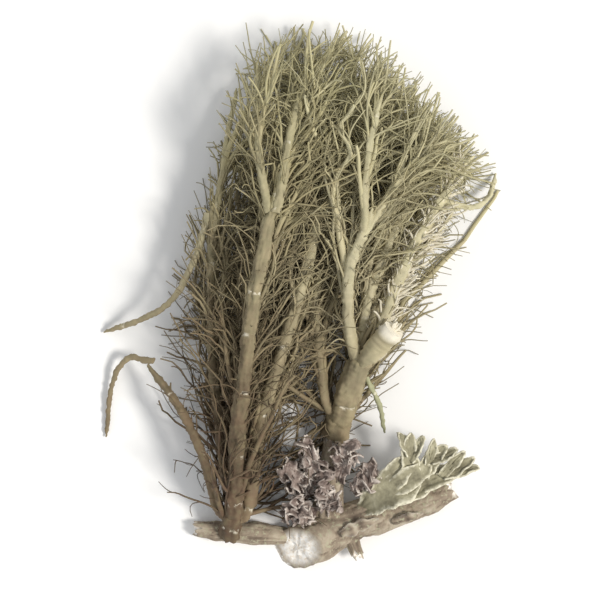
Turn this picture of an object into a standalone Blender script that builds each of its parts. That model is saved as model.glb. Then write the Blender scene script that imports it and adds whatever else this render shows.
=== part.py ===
"""Lichen on a twig: a broken twig with two tufts of beard lichen, a strap lichen and curled crust.

Everything is in metres, +Z up. The piece lies on a flat surface at Z = 0, on the torn flat
side of the twig, and the tufts fan out along +Y. The origin is the middle of that flat side.
"""

import math

import bmesh
import bpy
from mathutils import Matrix, Vector

MM = 0.001
WELD_DISTANCE = 1e-6
SHARP_ANGLE = 40
CURVE_STEPS = 24

# Driving dimensions, in millimetres.
TWIG_RADIUS = 1.4
SHOOT_RADIUS = 0.95
SPUR_RADIUS = 0.5
STRAND_STEP = 2.0
FEWEST_RINGS = 4
THICK_STRAND = 0.35
LOBE_THICKNESS = 0.34
LOBE_STEPS = 6
LOBE_ROWS = 4

# Shares: how far a knot swells and how long it is along the twig,
# and how deep a lobe is cupped for its width.
KNOT_SWELL = 0.13
KNOT_LENGTH = 0.07
LOBE_CUPPING = 0.28

# sRGB colours of the finishes.
BARK = "6B5A4A"
BEARD = "9A906E"
BEARD_BASE = "7A6650"
STRAP = "A8A183"
CRUST = "8D8076"


# ---------------------------------------------------------------------------
# Tools
# ---------------------------------------------------------------------------

def start_scene(name):
    """Empties the file and returns the collection that takes the object's pieces."""
    for old in list(bpy.data.objects):
        bpy.data.objects.remove(old)
    pieces = bpy.data.collections.new(name)
    bpy.context.scene.collection.children.link(pieces)
    return pieces


def finish(name, colour, roughness=0.85):
    """A plain material of one sRGB colour."""
    material = bpy.data.materials.new(name)
    material.use_nodes = True
    shader = material.node_tree.nodes["Principled BSDF"]
    parts = [int(colour[i : i + 2], 16) / 255 for i in (0, 2, 4)]
    linear = [c / 12.92 if c <= 0.04045 else ((c + 0.055) / 1.055) ** 2.4 for c in parts]
    shader.inputs["Base Color"].default_value = (*linear, 1.0)
    shader.inputs["Roughness"].default_value = roughness
    shader.inputs["Metallic"].default_value = 0.0
    return material


def smooth_route(points, count):
    """count points, evenly spread, on a smooth curve through the given ones (millimetres)."""
    given = [Vector(p) for p in points]
    padded = [2 * given[0] - given[1], *given, 2 * given[-1] - given[-2]]
    fine = []
    for before, start, end, after in zip(padded, padded[1:], padded[2:], padded[3:]):
        for step in range(CURVE_STEPS):
            t = step / CURVE_STEPS
            fine.append(
                0.5 * (
                    2 * start
                    + (end - before) * t
                    + (2 * before - 5 * start + 4 * end - after) * t ** 2
                    + (3 * start - before - 3 * end + after) * t ** 3
                )
            )
    fine.append(given[-1])
    run = [0.0]
    for a, b in zip(fine, fine[1:]):
        run.append(run[-1] + (b - a).length)
    even = []
    leg = 0
    for i in range(count):
        goal = run[-1] * i / (count - 1)
        while leg < len(run) - 2 and run[leg + 1] < goal:
            leg += 1
        share = (goal - run[leg]) / (run[leg + 1] - run[leg])
        even.append(fine[leg].lerp(fine[leg + 1], share))
    return even


def tube(name, route, radii, sides=2):
    """A curve object: a round strand along the route, with filled ends."""
    curve = bpy.data.curves.new(name, "CURVE")
    curve.dimensions = "3D"
    curve.bevel_depth = MM
    curve.bevel_resolution = sides
    curve.use_fill_caps = True
    spline = curve.splines.new("POLY")
    spline.points.add(len(route) - 1)
    for point, place, radius in zip(spline.points, route, radii):
        point.co = (*(place * MM), 1.0)
        point.radius = radius
    return bpy.data.objects.new(name, curve)


def as_mesh(obj):
    """The same shape as one welded mesh object, ready for a cut."""
    bpy.context.scene.collection.objects.link(obj)
    bpy.context.view_layer.update()
    evaluated = obj.evaluated_get(bpy.context.evaluated_depsgraph_get())
    mesh = bpy.data.meshes.new_from_object(evaluated)
    made = bpy.data.objects.new(obj.name + "_mesh", mesh)
    made.matrix_world = obj.matrix_world
    name = obj.name
    bpy.data.objects.remove(obj)
    made.name = name
    shape = bmesh.new()
    shape.from_mesh(mesh)
    bmesh.ops.remove_doubles(shape, verts=shape.verts, dist=WELD_DISTANCE)
    shape.to_mesh(mesh)
    shape.free()
    return made


def slice_off(obj, point, direction):
    """Cuts the mesh flat at the plane and removes what lies on the side that direction points to."""
    shape = bmesh.new()
    shape.from_mesh(obj.data)
    everything = shape.verts[:] + shape.edges[:] + shape.faces[:]
    cut = bmesh.ops.bisect_plane(
        shape, geom=everything, dist=1e-7, plane_co=Vector(point) * MM,
        plane_no=Vector(direction), clear_outer=True,
    )
    rim = [part for part in cut["geom_cut"] if isinstance(part, bmesh.types.BMEdge)]
    bmesh.ops.contextual_create(shape, geom=rim)
    bmesh.ops.recalc_face_normals(shape, faces=shape.faces)
    shape.to_mesh(obj.data)
    shape.free()


def place(obj, pieces, material, smooth=True):
    """Puts a finished piece in the collection with its material."""
    pieces.objects.link(obj)
    obj.data.materials.append(material)
    if smooth and obj.type == "MESH":
        obj.data.shade_smooth()
        obj.data.set_sharp_from_angle(angle=math.radians(SHARP_ANGLE))
    return obj


# ---------------------------------------------------------------------------
# The twig: a short broken length with an oblique cut end, two shoots and a spur
# ---------------------------------------------------------------------------

# name: (points along the middle, thickness, shares of it from end to end,
# knots as shares of the length, rings along the piece, sides of a quarter turn)
WOOD = {
    "twig": (
        [(-2.5, -1.5, 1.25), (0.4, 0.0, 0.9), (3.4, 1.25, 0.9), (6.4, 2.1, 0.95), (9.2, 3.4, 1.15)],
        TWIG_RADIUS, (1.12, 1.04, 0.94, 0.82, 0.66), (0.22, 0.58, 0.86), 15, 4,
    ),
    "twig_upper_shoot": (
        [(0.7, 2.15, 1.35), (0.8, 3.6, 1.65), (0.95, 5.0, 1.65), (1.15, 6.6, 1.5)],
        SHOOT_RADIUS, (1.15, 1.0, 0.9, 0.8), (0.5,), 8, 3,
    ),
    "twig_left_shoot": (
        [(-3.0, 0.1, 1.0), (-4.0, 0.05, 0.8), (-6.0, 0.15, 0.7), (-8.6, 0.4, 0.0)],
        SHOOT_RADIUS, (0.82, 0.74, 0.68, 0.56), (0.35, 0.75), 9, 3,
    ),
    "twig_spur": ([(2.45, -0.9, 1.2), (2.8, -1.65, 1.45)], SPUR_RADIUS, (1.0, 0.84), (), 3, 2),
}
CUT_END = (-1.3, -0.8, 1.3)
CUT_FACING = (-0.55, -0.42, 0.72)


def knotty(shares, count, knots):
    """Radii along a piece of wood: a smooth taper with a slight swelling at each knot."""
    taper = []
    for i in range(count):
        at = i / (count - 1)
        leg = min(int(at * (len(shares) - 1)), len(shares) - 2)
        rest = at * (len(shares) - 1) - leg
        base = shares[leg] * (1 - rest) + shares[leg + 1] * rest
        swell = sum(KNOT_SWELL * math.exp(-(((at - knot) / KNOT_LENGTH) ** 2)) for knot in knots)
        taper.append(base * (1 + swell))
    return taper


def make_wood(pieces, bark):
    """The twig, cut flat below and cut off at its end, and the shoots that rest on the surface."""
    for name, (points, thickness, shares, knots, rings, sides) in WOOD.items():
        radii = [thickness * share for share in knotty(shares, rings, knots)]
        route = smooth_route(points, rings)
        if name != "twig":
            route = [Vector((x, y, max(z, radius))) for (x, y, z), radius in zip(route, radii)]
        wood = as_mesh(tube(name, route, radii, sides))
        if name == "twig":
            slice_off(wood, (0, 0, 0), (0, 0, -1))
            slice_off(wood, CUT_END, CUT_FACING)
        place(wood, pieces, bark)


# ---------------------------------------------------------------------------
# The beard lichen: two tufts, each a short trunk whose stems fork into branches
# ---------------------------------------------------------------------------

# name: (points along the strand in millimetres, radius at the root, radius at the tip).
# A point at height 0 lies on the surface: make_strand lifts it by the strand's own radius.
LEFT_TUFT = {
    "left_holdfast": ([(-6.0, 0.5, 1.65), (-5.95, 0.95, 2.15), (-5.8, 1.5, 2.5)], 0.78, 0.7),
    "left_stem_outer": (
        [(-6.85, 1.95, 2.35), (-7.7, 5.0, 3.4), (-9.4, 8.6, 3.3), (-11.6, 11.6, 2.0)], 0.4, 0.24,
    ),
    "left_stem_brown": (
        [(-5.8, 1.8, 2.9), (-5.4, 7.4, 5.4), (-4.8, 12.6, 6.8), (-4.1, 17.6, 7.4), (-3.1, 22.2, 7.2)],
        0.6, 0.46,
    ),
    "left_stem_inner": (
        [(-4.85, 1.95, 2.3), (-4.0, 7.4, 3.8), (-2.7, 11.9, 4.6), (-1.4, 16.0, 5.0), (0.1, 22.0, 4.9)],
        0.5, 0.4,
    ),
    "left_stem_thin": (
        [(-6.15, 2.4, 1.8), (-6.8, 8.0, 2.6), (-7.3, 14.0, 3.4), (-7.2, 21.0, 3.7)], 0.36, 0.3,
    ),
    "left_stem_middle": (
        [(-5.5, 2.35, 1.55), (-5.3, 8.0, 1.6), (-4.7, 14.0, 1.7), (-3.4, 19.5, 1.5), (-2.2, 24.0, 1.1)],
        0.34, 0.26,
    ),
    "outer_thread": (
        [(-11.85, 11.9, 1.85), (-13.0, 12.0, 1.2), (-14.1, 10.2, 0.6), (-14.5, 6.6, 0.0)], 0.22, 0.14,
    ),
    "brown_branch_tall": (
        [(-2.75, 22.5, 7.3), (-1.9, 27.0, 6.6), (-0.9, 30.6, 5.0), (1.9, 34.2, 2.6)], 0.36, 0.2,
    ),
    "brown_branch_left": ([(-3.5, 22.5, 7.2), (-4.2, 27.0, 6.6), (-4.0, 31.6, 4.2)], 0.3, 0.18),
    "inner_branch_right": (
        [(0.55, 22.3, 5.05), (2.2, 24.6, 5.1), (4.2, 26.6, 4.4), (6.0, 29.8, 1.8)], 0.32, 0.18,
    ),
    "inner_branch_curl": (
        [(-0.05, 22.35, 4.7), (1.5, 25.6, 4.0), (1.2, 28.6, 3.0), (-0.7, 31.0, 1.6)], 0.28, 0.17,
    ),
    "thin_branch_up": ([(-7.05, 21.3, 3.75), (-6.4, 25.6, 3.2), (-5.6, 30.4, 1.2)], 0.24, 0.16),
    "thin_branch_hook": (
        [(-7.7, 21.2, 3.5), (-8.5, 18.6, 3.4), (-10.6, 15.4, 2.6), (-14.7, 13.8, 0.0)], 0.26, 0.18,
    ),
    "middle_thread": ([(-2.15, 24.3, 1.1), (-2.3, 27.6, 0.8), (-1.8, 30.0, 0.0)], 0.22, 0.15),
}

RIGHT_TUFT = {
    "right_holdfast": ([(1.15, 7.25, 1.6), (1.2, 7.65, 1.75), (1.35, 8.1, 2.0)], 0.98, 0.95),
    "right_trunk": ([(1.55, 8.45, 2.2), (2.1, 10.2, 3.1), (3.0, 12.2, 4.1)], 0.94, 0.85),
    "right_stub": ([(3.35, 12.2, 4.8), (4.2, 13.1, 5.35), (5.1, 14.0, 5.9)], 0.5, 0.72),
    "right_stem_middle": (
        [(2.3, 12.65, 4.45), (1.9, 14.8, 5.2), (2.1, 18.0, 6.1), (3.2, 21.0, 6.4)], 0.42, 0.36,
    ),
    "right_stem_feathery": (
        [(3.65, 12.4, 3.65), (4.5, 15.0, 4.0), (6.2, 19.2, 4.3), (8.2, 22.6, 4.0)], 0.42, 0.34,
    ),
    "right_stem_pale": (
        [(2.75, 12.85, 3.5), (3.2, 15.6, 3.9), (4.2, 18.6, 3.8), (5.4, 21.2, 3.5)], 0.36, 0.3,
    ),
    "right_stem_left": (
        [(0.5, 8.95, 2.6), (0.0, 12.4, 3.3), (-0.2, 16.2, 3.8), (0.9, 20.6, 3.9)], 0.34, 0.28,
    ),
    "right_stem_lower": (
        [(0.75, 8.9, 1.4), (0.3, 12.0, 1.2), (-0.6, 16.4, 1.1), (-0.9, 20.0, 1.0)], 0.32, 0.26,
    ),
    "right_stem_edge": (
        [(2.0, 8.95, 1.2), (3.0, 12.8, 1.1), (4.2, 17.4, 1.3), (5.2, 21.4, 1.2)], 0.32, 0.26,
    ),
    "green_filament": ([(3.4, 10.4, 3.0), (4.1, 8.9, 2.6), (4.5, 7.0, 2.2)], 0.2, 0.13),
    "middle_branch_right": (
        [(3.6, 21.3, 6.25), (5.2, 23.8, 6.0), (7.0, 25.6, 4.9), (8.9, 26.9, 3.2)], 0.3, 0.17,
    ),
    "middle_branch_up": (
        [(3.05, 21.35, 6.65), (3.2, 25.0, 7.0), (3.9, 28.8, 6.2), (4.2, 32.6, 3.8)], 0.28, 0.17,
    ),
    "left_branch": ([(0.95, 20.9, 4.0), (1.9, 24.2, 3.4), (3.9, 28.0, 1.8)], 0.26, 0.16),
    "feathery_branch_up": ([(8.35, 22.95, 4.15), (9.3, 24.0, 3.5), (10.3, 25.2, 2.4)], 0.3, 0.17),
    "feathery_branch_hook": (
        [(8.65, 22.6, 3.7), (10.4, 22.3, 2.7), (11.6, 23.0, 1.4), (12.1, 24.6, 0.0)], 0.24, 0.16,
    ),
    "pale_branch": ([(5.55, 21.5, 3.4), (7.0, 24.0, 2.6), (8.8, 25.6, 1.4)], 0.28, 0.17),
    "lower_thread_left": ([(-1.0, 20.3, 1.0), (-1.0, 23.6, 0.7), (0.5, 27.4, 0.0)], 0.22, 0.15),
    "edge_thread": ([(5.28, 21.65, 1.2), (6.8, 24.0, 0.8), (9.0, 24.9, 0.0)], 0.22, 0.15),
}


def make_strand(name, points, root, tip, pieces, material):
    """One tapering strand: eight-sided when thick, six-sided when thin."""
    length = sum((Vector(b) - Vector(a)).length for a, b in zip(points, points[1:]))
    count = max(FEWEST_RINGS, round(length / STRAND_STEP))
    radii = [root + (tip - root) * i / (count - 1) for i in range(count)]
    route = smooth_route(points, count)
    route = [Vector((x, y, max(z, radius))) for (x, y, z), radius in zip(route, radii)]
    sides = 2 if root > THICK_STRAND else 1
    place(tube(name, route, radii, sides), pieces, material)


# ---------------------------------------------------------------------------
# The strap lichen on the twig's far end: a flat base that splits into fingers
# ---------------------------------------------------------------------------

# name: (points along the middle, half widths from root to tip, roll about the middle line in degrees)
STRAP_LOBES = {
    "strap_base": ([(3.6, 2.45, 2.7), (5.2, 3.3, 3.2), (6.6, 3.9, 3.0)], (0.75, 1.1, 1.35), 14),
    "strap_finger_left": ([(6.3, 4.85, 3.1), (6.1, 5.8, 3.6), (6.3, 7.1, 4.1)], (0.5, 0.4, 0.22), -12),
    "strap_finger_middle": ([(7.25, 4.5, 2.95), (7.9, 5.4, 3.0), (8.8, 6.2, 3.3)], (0.42, 0.38, 0.2), 0),
    "strap_finger_right": ([(7.3, 3.62, 2.72), (8.8, 4.2, 2.6), (10.7, 5.3, 2.4)], (0.5, 0.42, 0.2), 20),
}

# The curled grey lobes of crust lichen that sit over the twig's fork.
CRUST_LOBES = {
    "crust_lobe_1": ([(-0.85, 2.9, 2.6), (-1.7, 4.0, 3.1), (-2.2, 5.3, 2.8)], (0.6, 0.85, 0.5), -20),
    "crust_lobe_2": ([(-0.1, 3.9, 2.9), (-0.5, 5.1, 3.4), (-0.8, 6.4, 3.1)], (0.5, 0.7, 0.4), 14),
    "crust_lobe_3": ([(1.45, 3.9, 2.9), (1.8, 5.1, 3.4), (1.9, 6.3, 3.1)], (0.5, 0.7, 0.4), 10),
    "crust_lobe_4": ([(2.6, 3.1, 2.4), (3.3, 4.0, 2.9), (3.7, 5.2, 2.6)], (0.5, 0.75, 0.4), 20),
    "crust_lobe_5": ([(-0.5, 1.5, 2.6), (-1.4, 1.8, 3.0), (-2.4, 1.9, 2.6)], (0.5, 0.65, 0.4), -10),
    "crust_lobe_6": ([(0.9, 1.9, 2.6), (0.4, 2.6, 3.3), (0.3, 3.2, 3.9)], (0.5, 0.6, 0.35), 8),
}

# Loose flakes of bark that have lifted off the twig.
BARK_FLAKES = {
    "bark_flake_1": ([(1.6, 0.1, 2.45), (2.9, 0.65, 2.6), (4.0, 1.1, 2.45)], (0.35, 0.5, 0.3), -14),
    "bark_flake_2": ([(5.1, 0.9, 2.3), (6.0, 1.15, 2.5), (7.0, 1.5, 2.5)], (0.3, 0.38, 0.24), -30),
}


def make_leaf(name, points, half_widths, roll, pieces, material):
    """A small curved plate along a route, made as an open sheet and thickened."""
    along = LOBE_STEPS
    middle = smooth_route(points, along + 1)
    shape = bmesh.new()
    bmesh.ops.create_grid(shape, x_segments=along, y_segments=LOBE_ROWS, size=1.0)
    for vert in shape.verts:
        at = (vert.co.x + 1) / 2
        side = vert.co.y
        step = round(at * along)
        ahead = middle[min(step + 1, along)] - middle[max(step - 1, 0)]
        ahead.normalize()
        sideways = ahead.cross(Vector((0, 0, 1))).normalized()
        sideways = Matrix.Rotation(math.radians(roll), 3, ahead) @ sideways
        face_up = sideways.cross(ahead)
        leg = min(int(at * 2), 1)
        width = half_widths[leg] + (half_widths[leg + 1] - half_widths[leg]) * (at * 2 - leg)
        cupped = LOBE_CUPPING * width * side ** 2
        vert.co = (middle[step] + sideways * width * side + face_up * cupped) * MM
    bmesh.ops.recalc_face_normals(shape, faces=shape.faces)
    mesh = bpy.data.meshes.new(name)
    shape.to_mesh(mesh)
    shape.free()
    leaf = bpy.data.objects.new(name, mesh)
    place(leaf, pieces, material, smooth=False)
    wall = leaf.modifiers.new("thickness", "SOLIDIFY")
    wall.thickness = LOBE_THICKNESS * MM
    wall.offset = 0.0
    return leaf


def main():
    pieces = start_scene("lichen_on_a_twig")
    bark = finish("bark", BARK, 0.9)
    beard = finish("beard_lichen", BEARD)
    beard_base = finish("beard_lichen_base", BEARD_BASE)
    strap = finish("strap_lichen", STRAP)
    crust = finish("crust_lichen", CRUST)

    make_wood(pieces, bark)
    for tuft in (LEFT_TUFT, RIGHT_TUFT):
        for name, (points, root, tip) in tuft.items():
            woody = name.endswith(("holdfast", "trunk", "stub"))
            material = beard_base if woody else beard
            make_strand(name, points, root, tip, pieces, material)
    for lobes, material in ((STRAP_LOBES, strap), (CRUST_LOBES, crust), (BARK_FLAKES, bark)):
        for name, (points, widths, roll) in lobes.items():
            make_leaf(name, points, widths, roll, pieces, material)


main()
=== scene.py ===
import math
import random

import bmesh
import bpy
import numpy as np
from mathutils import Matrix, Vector, noise


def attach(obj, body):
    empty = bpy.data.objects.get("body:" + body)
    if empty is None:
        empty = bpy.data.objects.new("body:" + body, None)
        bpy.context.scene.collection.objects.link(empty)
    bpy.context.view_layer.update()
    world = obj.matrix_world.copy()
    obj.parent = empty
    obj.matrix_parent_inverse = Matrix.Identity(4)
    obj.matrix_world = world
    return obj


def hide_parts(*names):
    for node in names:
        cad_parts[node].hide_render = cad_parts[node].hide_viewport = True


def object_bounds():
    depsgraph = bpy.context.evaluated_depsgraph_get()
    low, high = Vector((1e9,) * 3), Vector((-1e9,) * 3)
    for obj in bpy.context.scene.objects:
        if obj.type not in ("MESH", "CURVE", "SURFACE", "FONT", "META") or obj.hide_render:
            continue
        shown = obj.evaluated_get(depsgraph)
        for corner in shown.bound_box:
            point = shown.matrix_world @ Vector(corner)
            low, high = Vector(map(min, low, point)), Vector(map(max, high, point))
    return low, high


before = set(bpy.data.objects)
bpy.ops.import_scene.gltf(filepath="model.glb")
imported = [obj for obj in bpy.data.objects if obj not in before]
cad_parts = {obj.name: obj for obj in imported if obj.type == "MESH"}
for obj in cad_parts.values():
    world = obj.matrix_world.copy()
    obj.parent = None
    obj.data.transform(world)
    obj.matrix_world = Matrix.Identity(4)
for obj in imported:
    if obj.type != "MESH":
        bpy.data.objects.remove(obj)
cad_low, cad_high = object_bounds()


# ------------------------------------------------
# The twig
# A dead shoot with thin, dry, furrowed bark. It was broken off at a slant, so pale wood shows at one end,
# and it is torn flat underneath, where it lies. Two side shoots and a short spur grow from it.
# ------------------------------------------------

MM = 0.001
TWIG_RADIUS = 1.4
SHOOT_RADIUS = 0.95
SPUR_RADIUS = 0.5
TWIG_ROUTE = [(-2.5, -1.5, 1.25), (0.4, 0.0, 0.9), (3.4, 1.25, 0.9), (6.4, 2.1, 0.95), (9.2, 3.4, 1.15)]
UPPER_SHOOT_ROUTE = [(0.6, 1.3, 1.25), (0.8, 3.6, 1.65), (0.95, 5.0, 1.65), (1.15, 6.6, 1.5)]
LEFT_SHOOT_ROUTE = [(-2.2, -0.1, 0.45), (-4.0, 0.05, 0.78), (-6.0, 0.15, 0.72), (-8.6, 0.4, 0.62)]
SPUR_ROUTE = [(2.3, -0.4, 1.1), (2.5, -1.0, 1.22), (2.8, -1.65, 1.45)]
CUT_END = (-1.3, -0.8, 1.3)
CUT_FACING = (-0.55, -0.42, 0.72)
CURVE_STEPS = 24


def smooth_route(points, count):
    """count points, evenly spread, on a smooth curve through the given ones (millimetres)."""
    given = [Vector(p) for p in points]
    padded = [2 * given[0] - given[1], *given, 2 * given[-1] - given[-2]]
    fine = []
    for before, start, end, after in zip(padded, padded[1:], padded[2:], padded[3:]):
        for step in range(CURVE_STEPS):
            t = step / CURVE_STEPS
            fine.append(
                0.5 * (
                    2 * start
                    + (end - before) * t
                    + (2 * before - 5 * start + 4 * end - after) * t ** 2
                    + (3 * start - before - 3 * end + after) * t ** 3
                )
            )
    fine.append(given[-1])
    run = np.concatenate([[0.0], np.cumsum([(b - a).length for a, b in zip(fine, fine[1:])])])
    goals = np.linspace(0.0, run[-1], count)
    return np.stack([np.interp(goals, run, [p[axis] for p in fine]) for axis in range(3)], axis=1)


def frames_along(middle):
    """Unit vectors sideways and upwards at each point of a route, turning as little as they can."""
    ahead = np.gradient(middle, axis=0)
    ahead /= np.linalg.norm(ahead, axis=1)[:, None]
    up = np.zeros_like(middle)
    lift = np.array([0.0, 0.0, 1.0])
    for i, direction in enumerate(ahead):
        lift = lift - direction * lift.dot(direction)
        lift /= np.linalg.norm(lift)
        up[i] = lift
    return np.cross(ahead, up), up


def placed(name, data):
    """A new object in the scene."""
    thing = bpy.data.objects.new(name, data)
    bpy.context.scene.collection.objects.link(thing)
    return thing


def new_piece(name, points, faces, attributes, material):
    """A smooth mesh object from millimetre points, with its numbers for the material stored on its points."""
    mesh = bpy.data.meshes.new(name)
    mesh.from_pydata([tuple(p) for p in np.asarray(points) * MM], [], faces)
    for key, values in attributes.items():
        layer = mesh.attributes.new(key, "FLOAT", "POINT")
        layer.data.foreach_set("value", np.asarray(values, dtype=np.float32))
    mesh.materials.append(material)
    mesh.shade_smooth()
    return placed(name, mesh)


def linear(colour):
    """An sRGB hex colour as the linear numbers that a socket takes."""
    parts = [int(colour[i:i + 2], 16) / 255 for i in (0, 2, 4)]
    return (*[c / 12.92 if c <= 0.04045 else ((c + 0.055) / 1.055) ** 2.4 for c in parts], 1.0)


# The kinds of node that come up most.
MATH, VECTOR_MATH, MAP_RANGE = "ShaderNodeMath", "ShaderNodeVectorMath", "ShaderNodeMapRange"
NOISE, RAMP = "ShaderNodeTexNoise", "ShaderNodeValToRGB"
MIX, ATTRIBUTE = "ShaderNodeMix", "ShaderNodeAttribute"
NAMED, STORE = "GeometryNodeInputNamedAttribute", "GeometryNodeStoreNamedAttribute"
POSITION, SET_POSITION = "GeometryNodeInputPosition", "GeometryNodeSetPosition"


def node_adder(tree):
    """A function that adds a node to this tree and returns one of its outputs.

    What feeds the node comes in the order of its inputs, or by name in a dictionary; a list feeds one input
    several times. op is the operation of a maths node, and stops are a ramp's (place, sRGB hex) pairs;
    settings are the node's other options.
    """
    def add(kind, *fed, op=None, out=0, stops=(), **settings):
        made = tree.nodes.new(kind)
        if op:
            made.operation = op
        for name, value in settings.items():
            setattr(made, name, value)
        for place, feed in enumerate(fed):
            for key, value in (feed if isinstance(feed, dict) else {place: feed}).items():
                for source in value if isinstance(value, list) else [value]:
                    if isinstance(source, bpy.types.NodeSocket):
                        tree.links.new(source, made.inputs[key])
                    else:
                        made.inputs[key].default_value = source
        if stops:
            band = made.color_ramp.elements
            while len(band) < len(stops):
                band.new(0.5)
            for stop, (place, colour) in zip(band, stops):
                stop.position = place
                stop.color = linear(colour)
        return made.outputs[out]
    return add


def blank_material(name, roughness):
    """A new material, its node adder, its shader and a place in millimetres to hang patterns on."""
    material = bpy.data.materials.new(name)
    material.use_nodes = True
    add = node_adder(material.node_tree)
    shader = material.node_tree.nodes["Principled BSDF"]
    shader.inputs["Roughness"].default_value = roughness
    place = add("ShaderNodeTexCoord", out="Object")
    return material, add, shader, add("ShaderNodeMapping", place, {"Scale": (1 / MM, 1 / MM, 1 / MM)})


def dress(add, shader, colour, height, strength, depth):
    """Gives a shader its colour, and fine relief from the pattern height; depth is in millimetres."""
    links = shader.id_data.links
    links.new(colour, shader.inputs["Base Color"])
    bump = add("ShaderNodeBump", {"Height": height, "Strength": strength, "Distance": depth * MM})
    links.new(bump, shader.inputs["Normal"])


def dry_bark():
    """Dry bark of a thin shoot: grey-brown, dull and blotchy, with painted shade in its furrows and paler
    ridges, a film of pale algae and lichen specks, and bare creamy wood where it is broken."""
    material, add, shader, place = blank_material("dry_bark", 0.88)
    relief = add(ATTRIBUTE, attribute_name="relief", out="Fac")
    wood = add(ATTRIBUTE, attribute_name="wood", out="Fac")
    blotch = add(NOISE, place, {"Scale": 0.9, "Detail": 5.0, "Roughness": 0.65})
    # The colour follows the bark's relief mixed with blotchy tone: painted shade darkens the furrows and the
    # ridges are paler.
    height = add(MATH, relief, blotch, op="ADD")
    height = add(MATH, height, 0.5, op="MULTIPLY")
    bark = add(
        RAMP, height,
        stops=[(0.2, "52453A"), (0.37, "7F705F"), (0.49, "9C8D79"), (0.6, "B5A893"), (0.78, "CEC4B1")],
    )
    speck = add(NOISE, place, {"Scale": 3.4, "Detail": 3.0, "Roughness": 0.7})
    film = add(RAMP, speck, stops=[(0.55, "000000"), (0.63, "FFFFFF")])
    bark = add(MIX, {"Factor": film, 6: bark, 7: linear("A9A489")}, data_type="RGBA", out=2)
    streak = add(NOISE, place, {"Scale": 4.5, "Detail": 4.0, "Distortion": 0.6})
    bare = add(RAMP, streak, stops=[(0.25, "CDBBA2"), (0.4, "EFE5D6"), (0.55, "FBF6EE"), (0.8, "FFFEFA")])
    colour = add(MIX, {"Factor": wood, 6: bark, 7: bare}, data_type="RGBA", out=2)
    grain = add(NOISE, place, {"Scale": 9.0, "Detail": 5.0, "Roughness": 0.7})
    dress(add, shader, colour, grain, 0.55, 0.08)
    return material


BARK = dry_bark()
BARK_STEP = 0.09
BARK_SIDES = 64
BARK_POINTS = 200
# A knot swells the twig by this share, over this share of its length to each side.
KNOT_SWELL = 0.13
KNOT_REACH = 0.07
# The break is found in steps of this share of the length, and is ragged by up to the second one.
CUT_STEP = 0.004
CUT_RAGGED = 0.006
TORN_RELIEF = 0.16
BROKEN_RINGS = 7
RAGGED_END = 0.6


def bark_relief(along, angle, seed):
    """Height of the bark in shares of the radius: lengthwise furrows, low lumps and fine grain."""
    east, north = math.cos(angle), math.sin(angle)
    furrow = abs(noise.noise(Vector((along * 0.42, east * 2.7, north * 2.7 + seed))))
    cross = abs(noise.noise(Vector((along * 2.3, east * 1.1 + seed, north * 1.1))))
    lump = noise.noise(Vector((along * 0.8, east + seed, north)))
    grain = noise.noise(Vector((along * 4.5, east * 6.0, north * 6.0 + seed)))
    depth = max(0.0, 1.0 - furrow / 0.16) + 0.45 * max(0.0, 1.0 - cross / 0.07)
    return 0.07 * lump + 0.025 * grain - 0.085 * depth


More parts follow.
